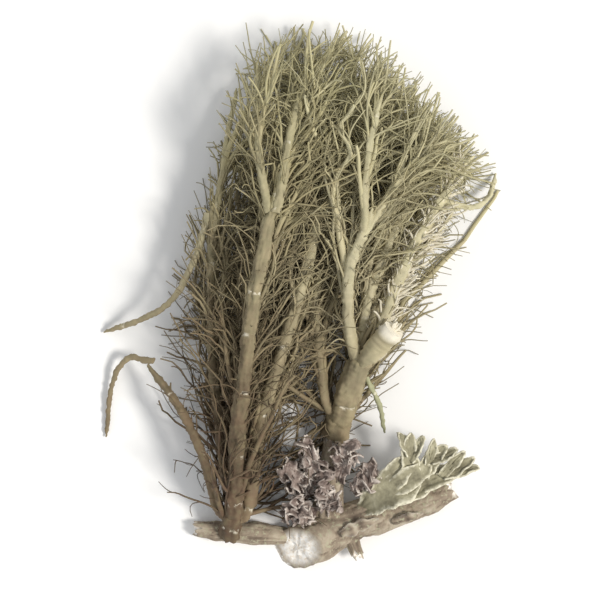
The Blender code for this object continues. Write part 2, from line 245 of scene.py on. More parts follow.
def bark_piece(name, points, radii, knots, seed, start_cut=None):
    """A length of twig with relief in its bark. Both ends are broken, in rings that run in to the middle."""
    route = smooth_route(points, BARK_POINTS)
    length = np.linalg.norm(np.diff(route, axis=0), axis=1).sum()
    share = np.linspace(0.0, 1.0, len(route))
    sideways, up = frames_along(route)
    taper = np.interp(share, np.linspace(0.0, 1.0, len(radii)), radii)
    for knot in knots:
        taper = taper * (1 + KNOT_SWELL * np.exp(-(((share - knot) / KNOT_REACH) ** 2)))

    def surface(at, angle, relief):
        centre = [np.interp(at, share, route[:, axis]) for axis in range(3)]
        out = [
            np.interp(at, share, sideways[:, axis]) * math.cos(angle)
            + np.interp(at, share, up[:, axis]) * math.sin(angle)
            for axis in range(3)
        ]
        radius = np.interp(at, share, taper) * (1 + relief)
        return np.array(centre) + np.array(out) * radius

    # The slanting break starts each line of bark at its own place along the twig.
    starts = []
    for j in range(BARK_SIDES):
        angle = 2 * math.pi * j / BARK_SIDES
        first = 0.0
        if start_cut:
            plane, facing = np.array(start_cut[0]), np.array(start_cut[1])
            while (surface(first, angle, 0.0) - plane).dot(facing) > 0 and first < 0.5:
                first += CUT_STEP
            first += CUT_RAGGED * noise.noise(Vector((j * 0.9, seed, 0.0)))
        starts.append(max(first, 0.0))

    ragged = RAGGED_END / length
    ends = []
    for j in range(BARK_SIDES):
        place = Vector((2.5 * math.cos(2 * math.pi * j / BARK_SIDES), j * 0.12, seed))
        ends.append(1 - ragged * (0.5 + noise.noise(place)))
    rings = max(12, round(length / BARK_STEP))
    shell = np.zeros((rings, BARK_SIDES, 3))
    relief = np.zeros((rings, BARK_SIDES))
    wood = np.zeros((rings, BARK_SIDES))
    for i in range(rings):
        for j in range(BARK_SIDES):
            angle = 2 * math.pi * j / BARK_SIDES
            at = starts[j] + (ends[j] - starts[j]) * i / (rings - 1)
            height = bark_relief(at * length, angle, seed)
            shell[i, j] = surface(at, angle, height)
            relief[i, j] = height
            if shell[i, j, 2] < 0.0:
                # Below the table top the twig is torn flat, so the bark's line ends on the flat.
                heart = np.array([np.interp(at, share, route[:, axis]) for axis in range(3)])
                shell[i, j] = heart + (shell[i, j] - heart) * heart[2] / (heart[2] - shell[i, j, 2])
                wood[i, j] = 1.0
    caps = []
    for rim, side in ((shell[0], -1), (shell[-1], 1)):
        middle = rim.mean(axis=0)
        across = np.cross(rim[BARK_SIDES // 4] - middle, rim[0] - middle) * -side
        across /= np.linalg.norm(across)
        for k in range(1, BROKEN_RINGS + 1):
            q = 1 - k / BROKEN_RINGS
            ring = middle + (rim - middle) * max(q, 0.02)
            torn = np.array([
                noise.noise(Vector(p * 3.1 + seed)) + 0.5 * noise.noise(Vector(p * 8 + seed)) for p in ring
            ])
            torn = torn * min(1.0, 2.2 * (1 - q)) * TORN_RELIEF
            caps.append((side, ring + across * torn[:, None]))
    before = [ring for side, ring in caps if side < 0][::-1]
    after = [ring for side, ring in caps if side > 0]
    stack = np.concatenate([before, shell, after])
    stack[:, :, 2] = np.maximum(stack[:, :, 2], 0.0)
    blank = np.zeros((BROKEN_RINGS, BARK_SIDES))
    relief = np.concatenate([blank, relief, blank])
    # The break is weathered tan at its rim and bare white wood in the middle.
    bare = np.clip(np.linspace(0.25, 2.6, BROKEN_RINGS), 0.0, 1.0)[:, None] + blank
    wood = np.concatenate([bare[::-1], wood, bare])
    faces = []
    for i in range(len(stack) - 1):
        for j in range(BARK_SIDES):
            after_j = (j + 1) % BARK_SIDES
            faces.append((
                i * BARK_SIDES + j, i * BARK_SIDES + after_j,
                (i + 1) * BARK_SIDES + after_j, (i + 1) * BARK_SIDES + j,
            ))
    faces.append(tuple(range(BARK_SIDES))[::-1])
    faces.append(tuple(range((len(stack) - 1) * BARK_SIDES, len(stack) * BARK_SIDES)))
    # The relief is kept for the bark's colour, which darkens the furrows with painted shade.
    shown = np.clip(0.5 + relief.ravel() * 3.0, 0.0, 1.0)
    piece = new_piece(name, stack.reshape(-1, 3), faces, {"relief": shown, "wood": wood.ravel()}, BARK)
    return face_outwards(piece)


def face_outwards(piece):
    """Turns all the faces of a closed piece outwards."""
    shape = bmesh.new()
    shape.from_mesh(piece.data)
    bmesh.ops.recalc_face_normals(shape, faces=shape.faces)
    shape.to_mesh(piece.data)
    shape.free()
    return piece


twig = bark_piece(
    "twig_bark", TWIG_ROUTE, [TWIG_RADIUS * r for r in (1.12, 1.04, 0.94, 0.82, 0.66)],
    (0.22, 0.58, 0.86), seed=3.0, start_cut=(CUT_END, CUT_FACING),
)
upper_shoot = bark_piece(
    "twig_upper_shoot_bark", UPPER_SHOOT_ROUTE, [SHOOT_RADIUS * r for r in (1.15, 1.0, 0.9, 0.8)],
    (0.5,), seed=11.0,
)
left_shoot = bark_piece(
    "twig_left_shoot_bark", LEFT_SHOOT_ROUTE, [SHOOT_RADIUS * r for r in (0.6, 0.8, 0.72, 0.66, 0.56)],
    (0.35, 0.75), seed=19.0,
)
spur = bark_piece("twig_spur_bark", SPUR_ROUTE, [SPUR_RADIUS * r for r in (1.0, 0.9, 0.84)], (), seed=23.0)
for piece, replaced in (
    (twig, "twig"), (upper_shoot, "twig_upper_shoot"), (left_shoot, "twig_left_shoot"), (spur, "twig_spur"),
):
    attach(piece, "root")
    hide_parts(replaced)


# ------------------------------------------------
# The beard lichen
# Each strand is a dry, stiff thread of fungus and alga round a tough white cord. Its outer bark cracks in
# rings, and branchlets, fibrils and hairs sprout from it, leaning towards the tip. The strands fork from two
# bases that have grown on to the bark of the twig's shoots.
# ------------------------------------------------

OUTER_CORNER = tuple(cad_high + Vector((0.4, 0.5, 0.1)) * MM)
# The tuft ends on slants at its upper right, its right and its left: outward direction and distance in
# millimetres.
SLANTS = (((0.75, 0.66, 0.0), 24.4), ((0.9, -0.44, 0.0), -0.7), ((-0.96, 0.28, 0.0), 13.2))
# How far a curled tip may stray past a slant, in millimetres, and the shortest shoot that grows.
STRAY = 1.6
LEAST_SHOOT = 0.3 * MM
# The share of the places along a parent where a shoot does sprout.
SPROUTED = 0.88


def beard_lichen():
    """Dried beard lichen: matte and papery, brown near the holdfast, grey-green to straw towards the tips,
    mottled, with the white inner cord showing in its cracks, and painted shade in its furrows."""
    material, add, shader, place = blank_material("beard_lichen", 0.82)
    stored = ("pale", "crack", "tone", "level", "fresh", "furrow", "torn")
    pale, crack, tone, level, fresh, furrow, torn = (
        add(ATTRIBUTE, attribute_name=name, out="Fac") for name in stored
    )
    up_tuft = add("ShaderNodeSeparateXYZ", place, out="Y")
    drift = add(NOISE, place, {"Scale": 0.22, "Detail": 3.0, "Roughness": 0.6})
    reach = add(MAP_RANGE, up_tuft, {"From Min": 0.0, "From Max": 32.0})
    shift = add(MATH, drift, 0.5, op="SUBTRACT")
    reach = add(MATH, shift, 0.5, reach, op="MULTIPLY_ADD")
    # The side away from the twig's far end, at the tuft's left, is coloured browner and darker.
    aside = add("ShaderNodeSeparateXYZ", place, out="X")
    aside = add(MAP_RANGE, aside, {"From Min": -10.0, "From Max": 8.0, "To Min": -0.14, "To Max": 0.1})
    reach = add(MATH, reach, aside, op="ADD")
    dark = add(
        RAMP, reach,
        stops=[(0.05, "543F2E"), (0.3, "705F47"), (0.55, "8A7D5F"), (0.8, "9A906B"), (1.0, "A59D76")],
    )
    light = add(
        RAMP, reach,
        stops=[(0.05, "8E7A5E"), (0.3, "A89B7A"), (0.55, "BDB393"), (0.8, "C4BC9A"), (1.0, "C8C1A1")],
    )
    # Fine shoots are duller than the strand that bears them.
    dulled = add(MAP_RANGE, level, {"From Max": 3.0, "To Min": 1.0, "To Max": 0.25})
    dulled = add(MATH, pale, dulled, op="MULTIPLY")
    colour = add(MIX, {"Factor": dulled, 6: dark, 7: light}, data_type="RGBA", out=2)
    mottle = add(NOISE, place, {"Scale": 1.7, "Detail": 5.0, "Roughness": 0.7})
    green = add(RAMP, mottle, stops=[(0.42, "000000"), (0.64, "6E6E6E")])
    colour = add(MIX, {"Factor": green, 6: colour, 7: linear("969A70")}, data_type="RGBA", out=2)
    colour = add(MIX, {"Factor": fresh, 6: colour, 7: linear("9CA07E")}, data_type="RGBA", out=2)
    lighten = add(MAP_RANGE, tone, {"To Min": 0.76, "To Max": 1.42})
    dim = add(MAP_RANGE, level, {"From Max": 3.0, "To Min": 0.97, "To Max": 0.9})
    lift = add(MATH, dim, lighten, op="MULTIPLY")
    # Painted shade: sunk furrows are darkened, and the ridges between them get a faint painted highlight.
    furrow_shade = add(
        MAP_RANGE, furrow, {"From Min": -0.15 * MM, "From Max": 0.06 * MM, "To Min": 0.74, "To Max": 1.06},
    )
    lift = add(MATH, lift, furrow_shade, op="MULTIPLY")
    shade = add("ShaderNodeHueSaturation", {"Color": colour, "Value": lift})
    gap = add(NOISE, place, {"Scale": 2.6, "Detail": 2.0})
    gap = add(MAP_RANGE, gap, {"From Min": 0.5, "From Max": 0.62, "To Max": 0.8})
    bared = add(MATH, crack, gap, op="MULTIPLY")
    bared = add(MATH, bared, torn, op="MAXIMUM")
    cord = add(MIX, {"Factor": bared, 6: shade, 7: linear("E4DCC8")}, data_type="RGBA", out=2)
    warts = add(NOISE, place, {"Scale": 7.0, "Detail": 3.0, "Roughness": 0.6})
    dress(add, shader, cord, warts, 0.5, 0.05)
    return material


def open_tree(name, inputs):
    """A geometry tree with these inputs, names by kind: the tree, its node adder and what its inputs give."""
    tree = bpy.data.node_groups.new(name, "GeometryNodeTree")
    for kind, labels in inputs.items():
        for label in labels:
            tree.interface.new_socket(label, in_out="INPUT", socket_type="NodeSocket" + kind)
    tree.interface.new_socket("Geometry", in_out="OUTPUT", socket_type="NodeSocketGeometry")
    return tree, node_adder(tree), tree.nodes.new("NodeGroupInput").outputs


def grown_piece(name, guide, tree, values):
    """Grows a tree on a guide object with these values for its inputs, and keeps only the plain mesh."""
    growth = guide.modifiers.new("growth", "NODES")
    growth.node_group = tree
    for socket in tree.interface.items_tree:
        if socket.name in values:
            growth[socket.identifier] = values[socket.name]
    bpy.context.view_layer.update()
    mesh = bpy.data.meshes.new_from_object(guide.evaluated_get(bpy.context.evaluated_depsgraph_get()))
    mesh.name = name
    bpy.data.objects.remove(guide)
    return placed(name, mesh)


def sprouting_tree():
    """Thin curved shoots along parent curves: each leans out of its parent, bends forward and curls."""
    tree, add, given = open_tree("sprout", {
        "Geometry": ("Parents",),
        "Float": (
            "Spacing", "First", "Last", "Length", "Lean low", "Lean high", "Root radius", "Tip radius",
            "Forward", "Curl", "Wave", "Wave length", "Flatten", "Level",
        ),
        "Int": ("Points", "Seed"),
        "Vector": ("Arch", "Droop", "Low corner", "High corner"),
    })
    # Numbers that are held on each shoot, and the place of each point.
    here = add(POSITION)
    own_size, own_fit, own_tone = (add(NAMED, label) for label in ("size", "fit", "tone"))
    own_ahead, own_whorl = (add(NAMED, label, data_type="FLOAT_VECTOR") for label in ("ahead", "whorl"))
    # The draws for each shoot: which draw it is, its least and its greatest value.
    draws = {}
    for label, which, low, high in (
        ("missed", 1, 0.0, 1.0), ("nudge", 2, -0.4, 0.0), ("hinge", 3, 0.0, 2 * math.pi),
        ("lean", 4, given["Lean low"], given["Lean high"]), ("size", 5, 0.45, 1.4), ("tone", 7, 0.0, 1.0),
    ):
        seed = add(MATH, given["Seed"], float(which), op="ADD")
        # Sockets 2, 3 and 8 are the least and greatest number and the seed.
        draws[label] = add("FunctionNodeRandomValue", {2: low, 3: high, 8: seed}, data_type="FLOAT", out=1)
    share = add("GeometryNodeSplineParameter")
    parents = add(STORE, given["Parents"], {"Name": "run", "Value": share})
    spots = add("GeometryNodeCurveToPoints", {"Curve": parents, "Length": given["Spacing"]}, mode="LENGTH")
    ahead = spots.node.outputs["Tangent"]
    run = add(NAMED, "run")
    early = add(MATH, run, given["First"], op="LESS_THAN")
    late = add(MATH, run, given["Last"], op="GREATER_THAN")
    missed = add(MATH, draws["missed"], SPROUTED, op="GREATER_THAN")
    held = add(VECTOR_MATH, here, given["Low corner"], op="MAXIMUM")
    held = add(VECTOR_MATH, held, given["High corner"], op="MINIMUM")
    strayed = add(VECTOR_MATH, held, here, op="DISTANCE", out="Value")
    strayed = add(MATH, strayed, 0.02 * MM, op="GREATER_THAN")
    gone = early
    for reason in (late, strayed, missed):
        gone = add(MATH, gone, reason, op="ADD")
    kept = add("GeometryNodeDeleteGeometry", spots, {"Selection": gone}, domain="POINT")
    nudge = add(MATH, draws["nudge"], given["Spacing"], op="MULTIPLY")
    nudge = add(VECTOR_MATH, ahead, {"Scale": nudge}, op="SCALE")
    kept = add(SET_POSITION, kept, {"Offset": nudge})

    hinge = add(
        "ShaderNodeVectorRotate", spots.node.outputs["Normal"], {"Axis": ahead, "Angle": draws["hinge"]},
        rotation_type="AXIS_ANGLE",
    )
    heading = add(
        "ShaderNodeVectorRotate", ahead, {"Axis": hinge, "Angle": draws["lean"]}, rotation_type="AXIS_ANGLE",
    )
    flat = add("ShaderNodeCombineXYZ", {"X": 1.0, "Y": 1.0, "Z": given["Flatten"]})
    heading = add(VECTOR_MATH, heading, flat, op="MULTIPLY")
    heading = add(VECTOR_MATH, heading, given["Droop"], op="ADD")
    turn = add("FunctionNodeAlignRotationToVector", {"Vector": heading}, axis="Z")
    size = add(MAP_RANGE, run, {"To Min": 1.15, "To Max": 0.6})
    for factor in (given["Length"], draws["size"]):
        size = add(MATH, size, factor, op="MULTIPLY")
    # A shoot that would pass the edge of the tuft stays short: its reach is cut to what fits inside.
    heading = add(VECTOR_MATH, heading, op="NORMALIZE")
    far = add(VECTOR_MATH, heading, {"Scale": size}, op="SCALE")
    goal = add(VECTOR_MATH, here, far, op="ADD")
    goal = add(VECTOR_MATH, goal, given["Low corner"], op="MAXIMUM")
    goal = add(VECTOR_MATH, goal, given["High corner"], op="MINIMUM")
    room = add(VECTOR_MATH, goal, here, op="SUBTRACT")
    spans = []
    for span in (room, far):
        span = add(VECTOR_MATH, span, op="ABSOLUTE")
        spans.append(add(VECTOR_MATH, span, (1e-6, 1e-6, 1e-6), op="ADD"))
    fit = add(VECTOR_MATH, spans[0], spans[1], op="DIVIDE")
    fit = add("ShaderNodeSeparateXYZ", fit).node.outputs
    least = add(MATH, fit["X"], fit["Y"], op="MINIMUM")
    least = add(MATH, least, fit["Z"], op="MINIMUM")
    for outward, limit in SLANTS:
        gone_by = add(VECTOR_MATH, here, outward, op="DOT_PRODUCT", out="Value")
        left_over = add(MATH, limit * MM, gone_by, op="SUBTRACT")
        left_over = add(MATH, left_over, 0.0, op="MAXIMUM")
        closing = add(VECTOR_MATH, far, outward, op="DOT_PRODUCT", out="Value")
        closing = add(MATH, closing, 1e-6, op="MAXIMUM")
        share_left = add(MATH, left_over, closing, op="DIVIDE")
        least = add(MATH, least, share_left, op="MINIMUM")
    least = add(MATH, least, 1.0, op="MINIMUM")
    size = add(MATH, size, least, op="MULTIPLY")
    # Sockets 0, 1 and 8 are the lowest and highest corner and the seed.
    own = add(MATH, given["Seed"], 6.0, op="ADD")
    whorl = add(
        "FunctionNodeRandomValue", {0: (-1, -1, -0.5), 1: (1, 1, 0.5), 8: own}, data_type="FLOAT_VECTOR",
    )
    for label, value in (("ahead", ahead), ("whorl", whorl)):
        kept = add(STORE, kept, {"Name": label, "Value": value}, data_type="FLOAT_VECTOR")
    for label, value in (("size", size), ("fit", least), ("tone", draws["tone"])):
        kept = add(STORE, kept, {"Name": label, "Value": value})
    dwarf = add(MATH, own_size, LEAST_SHOOT, op="LESS_THAN")
    kept = add("GeometryNodeDeleteGeometry", kept, {"Selection": dwarf}, domain="POINT")

    line = add("GeometryNodeCurvePrimitiveLine", {"End": (0, 0, 1)})
    line = add("GeometryNodeResampleCurve", line, {"Count": given["Points"]}, mode="COUNT")
    grown = add(
        "GeometryNodeInstanceOnPoints",
        {"Points": kept, "Instance": line, "Rotation": turn, "Scale": own_size},
    )
    grown = add("GeometryNodeRealizeInstances", grown)

    t = add("GeometryNodeSplineParameter")
    t_squared = add(MATH, t, 2.0, op="POWER")
    t_curl = add(MATH, t, 2.6, op="POWER")
    forward = add(MATH, t_squared, given["Forward"], op="MULTIPLY")
    curl = add(MATH, t_curl, given["Curl"], op="MULTIPLY")
    curl = add(MATH, curl, own_fit, op="MULTIPLY")
    bend = add(VECTOR_MATH, own_ahead, {"Scale": forward}, op="SCALE")
    hook = add(VECTOR_MATH, own_whorl, {"Scale": curl}, op="SCALE")
    bend = add(VECTOR_MATH, bend, hook, op="ADD")
    arch = add(VECTOR_MATH, given["Arch"], {"Scale": t_squared}, op="SCALE")
    bend = add(VECTOR_MATH, bend, arch, op="ADD")
    per_wave = add(MATH, 1.0, given["Wave length"], op="DIVIDE")
    spot = add(VECTOR_MATH, here, {"Scale": per_wave}, op="SCALE")
    apart = add(VECTOR_MATH, own_whorl, {"Scale": 9.0}, op="SCALE")
    spot = add(VECTOR_MATH, spot, apart, op="ADD")
    sway = add(NOISE, spot, {"Scale": 1.0, "Detail": 1.0}, out="Color")
    sway = add(VECTOR_MATH, sway, (0.5, 0.5, 0.5), op="SUBTRACT")
    wave = add(MATH, t, given["Wave"], op="MULTIPLY")
    wave = add(MATH, wave, own_fit, op="MULTIPLY")
    sway = add(VECTOR_MATH, sway, {"Scale": wave}, op="SCALE")
    bend = add(VECTOR_MATH, bend, sway, op="ADD")
    bend = add(VECTOR_MATH, bend, {"Scale": own_size}, op="SCALE")
    grown = add(SET_POSITION, grown, {"Offset": bend})
    # Shoots that sink below the table top lie on it instead.
    above = add(VECTOR_MATH, here, (-1.0, -1.0, 0.12 * MM), op="MAXIMUM")
    grown = add(SET_POSITION, grown, {"Position": above})
    # A tip that has curled out of the tuft's outline has broken off.
    held = add(VECTOR_MATH, here, OUTER_CORNER, op="MINIMUM")
    off = add(VECTOR_MATH, held, here, op="DISTANCE", out="Value")
    for outward, limit in SLANTS:
        gone_by = add(VECTOR_MATH, here, outward, op="DOT_PRODUCT", out="Value")
        past = add(MATH, gone_by, (limit + STRAY) * MM, op="SUBTRACT")
        off = add(MATH, off, past, op="MAXIMUM")
    broken = add(MATH, off, 1e-6, op="GREATER_THAN")
    grown = add("GeometryNodeDeleteGeometry", grown, {"Selection": broken}, domain="POINT")
    thick = add(MAP_RANGE, t, {"To Min": given["Root radius"], "To Max": given["Tip radius"]})
    own = add(MATH, own_tone, 2.0, op="POWER")
    own = add(MAP_RANGE, own, {"To Min": 0.7, "To Max": 1.7})
    thick = add(MATH, thick, own, op="MULTIPLY")
    grown_up = add(MATH, own_size, given["Length"], op="DIVIDE")
    grown_up = add(MAP_RANGE, grown_up, {"From Min": 0.05, "From Max": 0.6, "To Min": 0.4, "To Max": 1.0})
    thick = add(MATH, thick, grown_up, op="MULTIPLY")
    grown = add("GeometryNodeSetCurveRadius", grown, {"Radius": thick})
    grown = add(STORE, grown, {"Name": "level", "Value": given["Level"]})
    tree.links.new(grown, tree.nodes.new("NodeGroupOutput").inputs[0])
    return tree


def skin(add, curves, sides):
    """A round skin, sides faces round, on curves that carry their own radius."""
    ring = add("GeometryNodeCurvePrimitiveCircle", {"Resolution": sides, "Radius": 1.0})
    radius = add("GeometryNodeInputRadius")
    return add("GeometryNodeCurveToMesh", curves, ring, {"Scale": radius, "Fill Caps": True})


# What the three sizes of shoot are like: forward bend, wave, its length in millimetres, share of the upward
# lean that is left, droop, points along a shoot and faces round it.
LEVELS = {
    "Branchlet": (0.1, 0.45, 5.0, 0.6, -0.09, 22, 7),
    "Fibril": (0.15, 1.05, 2.5, 0.7, -0.08, 12, 4),
    "Hair": (0.1, 1.0, 1.4, 0.8, 0.0, 7, 3),
}
HABIT_PARTS = (
    "spacing", "first", "last", "length", "lean low", "lean high", "root radius", "tip radius", "curl",
)
# How far apart the seeds are for the sizes of shoot and for the strands, and the first strand's seed.
SEEDS_A_LEVEL = 40
SEEDS_A_STRAND = 200
FIRST_SEED = 7


def strand_tree(sprout):
    """A whole strand on one guide curve: the cracked body, and three sizes of shoot sprouting from it."""
    tree, add, given = open_tree("beard_strand", {
        "Geometry": ("Geometry",),
        "Material": ("Material",),
        "Int": ("Seed", "Body sides"),
        "Float": (
            "Pale", "Crack spacing", "Sway", "Torn tip", "Fibril cream", "Fresh",
            *(f"{level} {part}" for level in LEVELS for part in HABIT_PARTS),
        ),
        "Vector": ("Arch", "Low corner", "High corner"),
    })
    here = add(POSITION)
    own_heart = add(NAMED, "heart", data_type="FLOAT_VECTOR")
    own_along, own_thick = (add(NAMED, label) for label in ("along", "thick"))
    fine = add("GeometryNodeResampleCurve", given["Geometry"], {"Length": 0.1 * MM}, mode="LENGTH")
    spot = add(VECTOR_MATH, here, {"Scale": 1 / (3.2 * MM)}, op="SCALE")
    sway = add(
        NOISE, spot, {"W": given["Seed"], "Scale": 1.0, "Detail": 1.0}, noise_dimensions="4D", out="Color",
    )
    sway = add(VECTOR_MATH, sway, (0.5, 0.5, 0.5), op="SUBTRACT")
    t = add("GeometryNodeSplineParameter")
    # The sway fades out at the root, so a branch still meets the strand it forks from.
    fade = add(MATH, t, 6.0, op="MULTIPLY", use_clamp=True)
    fade = add(MATH, fade, given["Sway"], op="MULTIPLY")
    for factor in (fade, MM):
        sway = add(VECTOR_MATH, sway, {"Scale": factor}, op="SCALE")
    guide = add(SET_POSITION, fine, {"Offset": sway})

    along = add("GeometryNodeSplineParameter", out="Length")
    along = add(MATH, along, 1 / MM, op="MULTIPLY")
    cell = add(MATH, along, given["Crack spacing"], op="DIVIDE")
    cell = add(MATH, cell, given["Seed"], op="ADD")
    edge = add(
        "ShaderNodeTexVoronoi", {"W": cell, "Scale": 1.0}, voronoi_dimensions="1D",
        feature="DISTANCE_TO_EDGE",
    )
    crack = add(
        MAP_RANGE, edge, {"From Min": 0.01, "From Max": 0.035, "To Min": 1.0, "To Max": 0.0},
        interpolation_type="SMOOTHSTEP",
    )
    lumps = add(NOISE, {"W": along, "Scale": 0.8, "Detail": 3.0, "Roughness": 0.6}, noise_dimensions="1D")
    girth = add(MAP_RANGE, lumps, {"To Min": 0.84, "To Max": 1.16})
    waist = add(MATH, crack, -0.14, 1.0, op="MULTIPLY_ADD")
    girth = add(MATH, girth, waist, op="MULTIPLY")
    radius = add("GeometryNodeInputRadius")
    radius = add(MATH, radius, girth, op="MULTIPLY")
    # An unbroken strand tapers off at its tip; a torn one ends thick.
    narrow = add(MATH, given["Torn tip"], 0.6, 0.4, op="MULTIPLY_ADD")
    point = add(MAP_RANGE, t, {"From Min": 0.9, "From Max": 1.0, "To Min": 1.0, "To Max": narrow})
    radius = add(MATH, radius, point, op="MULTIPLY")
    torn = add(MAP_RANGE, t, {"From Min": 0.8, "From Max": 0.9})
    torn = add(MATH, torn, given["Torn tip"], op="MULTIPLY")
    body = add(STORE, guide, {"Name": "heart", "Value": here}, data_type="FLOAT_VECTOR")
    for label, value in (
        ("crack", crack), ("torn", torn), ("level", 0.0), ("tone", lumps), ("along", along),
        ("thick", radius),
    ):
        body = add(STORE, body, {"Name": label, "Value": value})
    body = add("GeometryNodeSetCurveRadius", body, {"Radius": radius})
    body = skin(add, body, given["Body sides"])
    # Furrows run along the strand: their pattern changes quickly round it and slowly along it.
    out = add(VECTOR_MATH, here, own_heart, op="SUBTRACT")
    out = add(VECTOR_MATH, out, op="NORMALIZE")
    drawn_out = add(MATH, own_along, 0.6, op="MULTIPLY")
    around = add(VECTOR_MATH, out, {"Scale": 1.5}, op="SCALE")
    furrow = add(NOISE, around, {"W": drawn_out, "Scale": 1.0, "Detail": 3.0}, noise_dimensions="4D")
    furrow = add(MAP_RANGE, furrow, {"From Min": 0.3, "From Max": 0.7, "To Min": -0.3, "To Max": 0.16})
    furrow = add(MATH, furrow, own_thick, op="MULTIPLY")
    sunk = add(VECTOR_MATH, out, {"Scale": furrow}, op="SCALE")
    body = add(SET_POSITION, body, {"Offset": sunk})
    # The furrow depth is kept for the material, which paints shade into the furrows.
    body = add(STORE, body, {"Name": "furrow", "Value": furrow})
    spot = add(VECTOR_MATH, here, {"Scale": 1 / MM}, op="SCALE")
    warts = add(NOISE, spot, {"Scale": 3.3, "Detail": 2.0})
    warts = add(
        MAP_RANGE, warts, {"From Min": 0.42, "From Max": 0.75, "To Min": -0.02 * MM, "To Max": 0.09 * MM},
    )
    rise = add(VECTOR_MATH, add("GeometryNodeInputNormal"), {"Scale": warts}, op="SCALE")
    body = add(SET_POSITION, body, {"Offset": rise})

    parents, skins = guide, [body]
    for number, (level, shape) in enumerate(LEVELS.items(), 1):
        forward, wave, wave_length, flatten, droop, points, sides = shape
        seed = add(MATH, given["Seed"], float(SEEDS_A_LEVEL * number), op="ADD")
        children = add("GeometryNodeGroup", {
            "Parents": parents, "Forward": forward, "Wave": wave, "Wave length": wave_length * MM,
            "Flatten": flatten, "Droop": (0.0, 0.0, droop), "Points": points, "Seed": seed,
            "Level": float(number),
            **{label: given[label] for label in ("Arch", "Low corner", "High corner")},
            **{part.capitalize(): given[f"{level} {part}"] for part in HABIT_PARTS},
        }, node_tree=sprout)
        if level == "Fibril":
            children = add(STORE, children, {"Name": "torn", "Value": given["Fibril cream"]})
        skins.append(skin(add, children, sides))
        # Fibrils sprout from the strand and from its branchlets, and hairs from the fibrils.
        parents = add("GeometryNodeJoinGeometry", [parents, children]) if number == 1 else children
    whole = add("GeometryNodeJoinGeometry", skins)
    for label in ("Pale", "Fresh"):
        whole = add(STORE, whole, {"Name": label.lower(), "Value": given[label]})
    whole = add("GeometryNodeSetShadeSmooth", whole)
    whole = add("GeometryNodeRealizeInstances", whole)
    whole = add("GeometryNodeSetMaterial", whole, {"Material": given["Material"]})
    tree.links.new(whole, tree.nodes.new("NodeGroupOutput").inputs[0])
    return tree


BEARD = beard_lichen()
STRAND = strand_tree(sprouting_tree())
DEG = math.pi / 180
ARCH = (0.1, -0.02, -0.04)
# Shoots are cut short to fit between the two corners; those near the table top may sink and then lie on it.
LOW_CORNER = (cad_low.x + 0.4 * MM, cad_low.y + 0.4 * MM, -3.0 * MM)
HIGH_CORNER = (cad_high.x - 0.5 * MM, cad_high.y - 0.9 * MM, cad_high.z - 0.3 * MM)

# What sprouts from each kind of strand, for its branchlets, fibrils and hairs:
# spacing, first and last share of the parent, length, least and greatest lean, root and tip radius, curl.
HABITS = {
    "stem": (
        (1.2, 0.03, 0.9, 11.5, 3, 15, 0.19, 0.075, 0.2),
        (0.49, 0.04, 1.0, 4.4, 3, 26, 0.07, 0.036, 0.8),
        (1.9, 0.2, 1.0, 2.0, 8, 44, 0.046, 0.03, 1.0),
    ),
    "branch": (
        (1.1, 0.02, 0.95, 6.2, 4, 20, 0.15, 0.065, 0.4),
        (0.46, 0.04, 1.0, 3.0, 4, 32, 0.068, 0.036, 0.9),
        (1.6, 0.2, 1.0, 1.5, 12, 50, 0.044, 0.03, 1.0),
    ),
    "feathery": (
        (2.4, 0.04, 0.9, 8.0, 2, 11, 0.19, 0.075, 0.15),
        (0.09, 0.02, 1.0, 1.2, 30, 66, 0.09, 0.042, 0.4),
        (6.0, 0.3, 1.0, 1.0, 20, 50, 0.05, 0.03, 0.6),
    ),
    "bare": (
        (3.0, 0.45, 1.0, 1.6, 12, 36, 0.1, 0.06, 0.4),
        (2.2, 0.2, 1.0, 0.7, 25, 50, 0.06, 0.04, 0.4),
        (3.0, 0.4, 1.0, 0.4, 25, 60, 0.05, 0.03, 0.4),
    ),
    "base": (
        (0.16, 0.0, 1.0, 8.0, 3, 22, 0.18, 0.07, 0.2),
        (1.0, 0.1, 1.0, 3.6, 5, 30, 0.075, 0.036, 0.5),
        (1.8, 0.2, 1.0, 1.2, 15, 50, 0.046, 0.028, 0.8),
    ),
    "skirt": (
        (0.85, 0.0, 0.92, 10.5, 3, 19, 0.17, 0.07, 0.25),
        (0.56, 0.02, 1.0, 4.4, 3, 38, 0.072, 0.036, 0.8),
        (2.0, 0.2, 1.0, 1.8, 10, 46, 0.046, 0.03, 1.0),
    ),
    "trunk": (
        (0.3, 0.35, 1.0, 4.0, 2, 9, 0.24, 0.09, 0.08),
        (1.6, 0.4, 1.0, 1.6, 6, 26, 0.09, 0.045, 0.3),
        (2.4, 0.2, 1.0, 0.9, 15, 50, 0.05, 0.03, 0.5),
    ),
    "stub": (
        (1.2, 0.0, 0.4, 1.4, 3, 10, 0.2, 0.1, 0.1),
        (0.045, 0.84, 1.0, 0.95, 4, 62, 0.13, 0.045, 0.3),
        (2.0, 0.2, 1.0, 0.4, 10, 40, 0.05, 0.035, 0.5),
    ),
}
HABIT_UNITS = (MM, 1, 1, MM, DEG, DEG, MM, MM, 1)

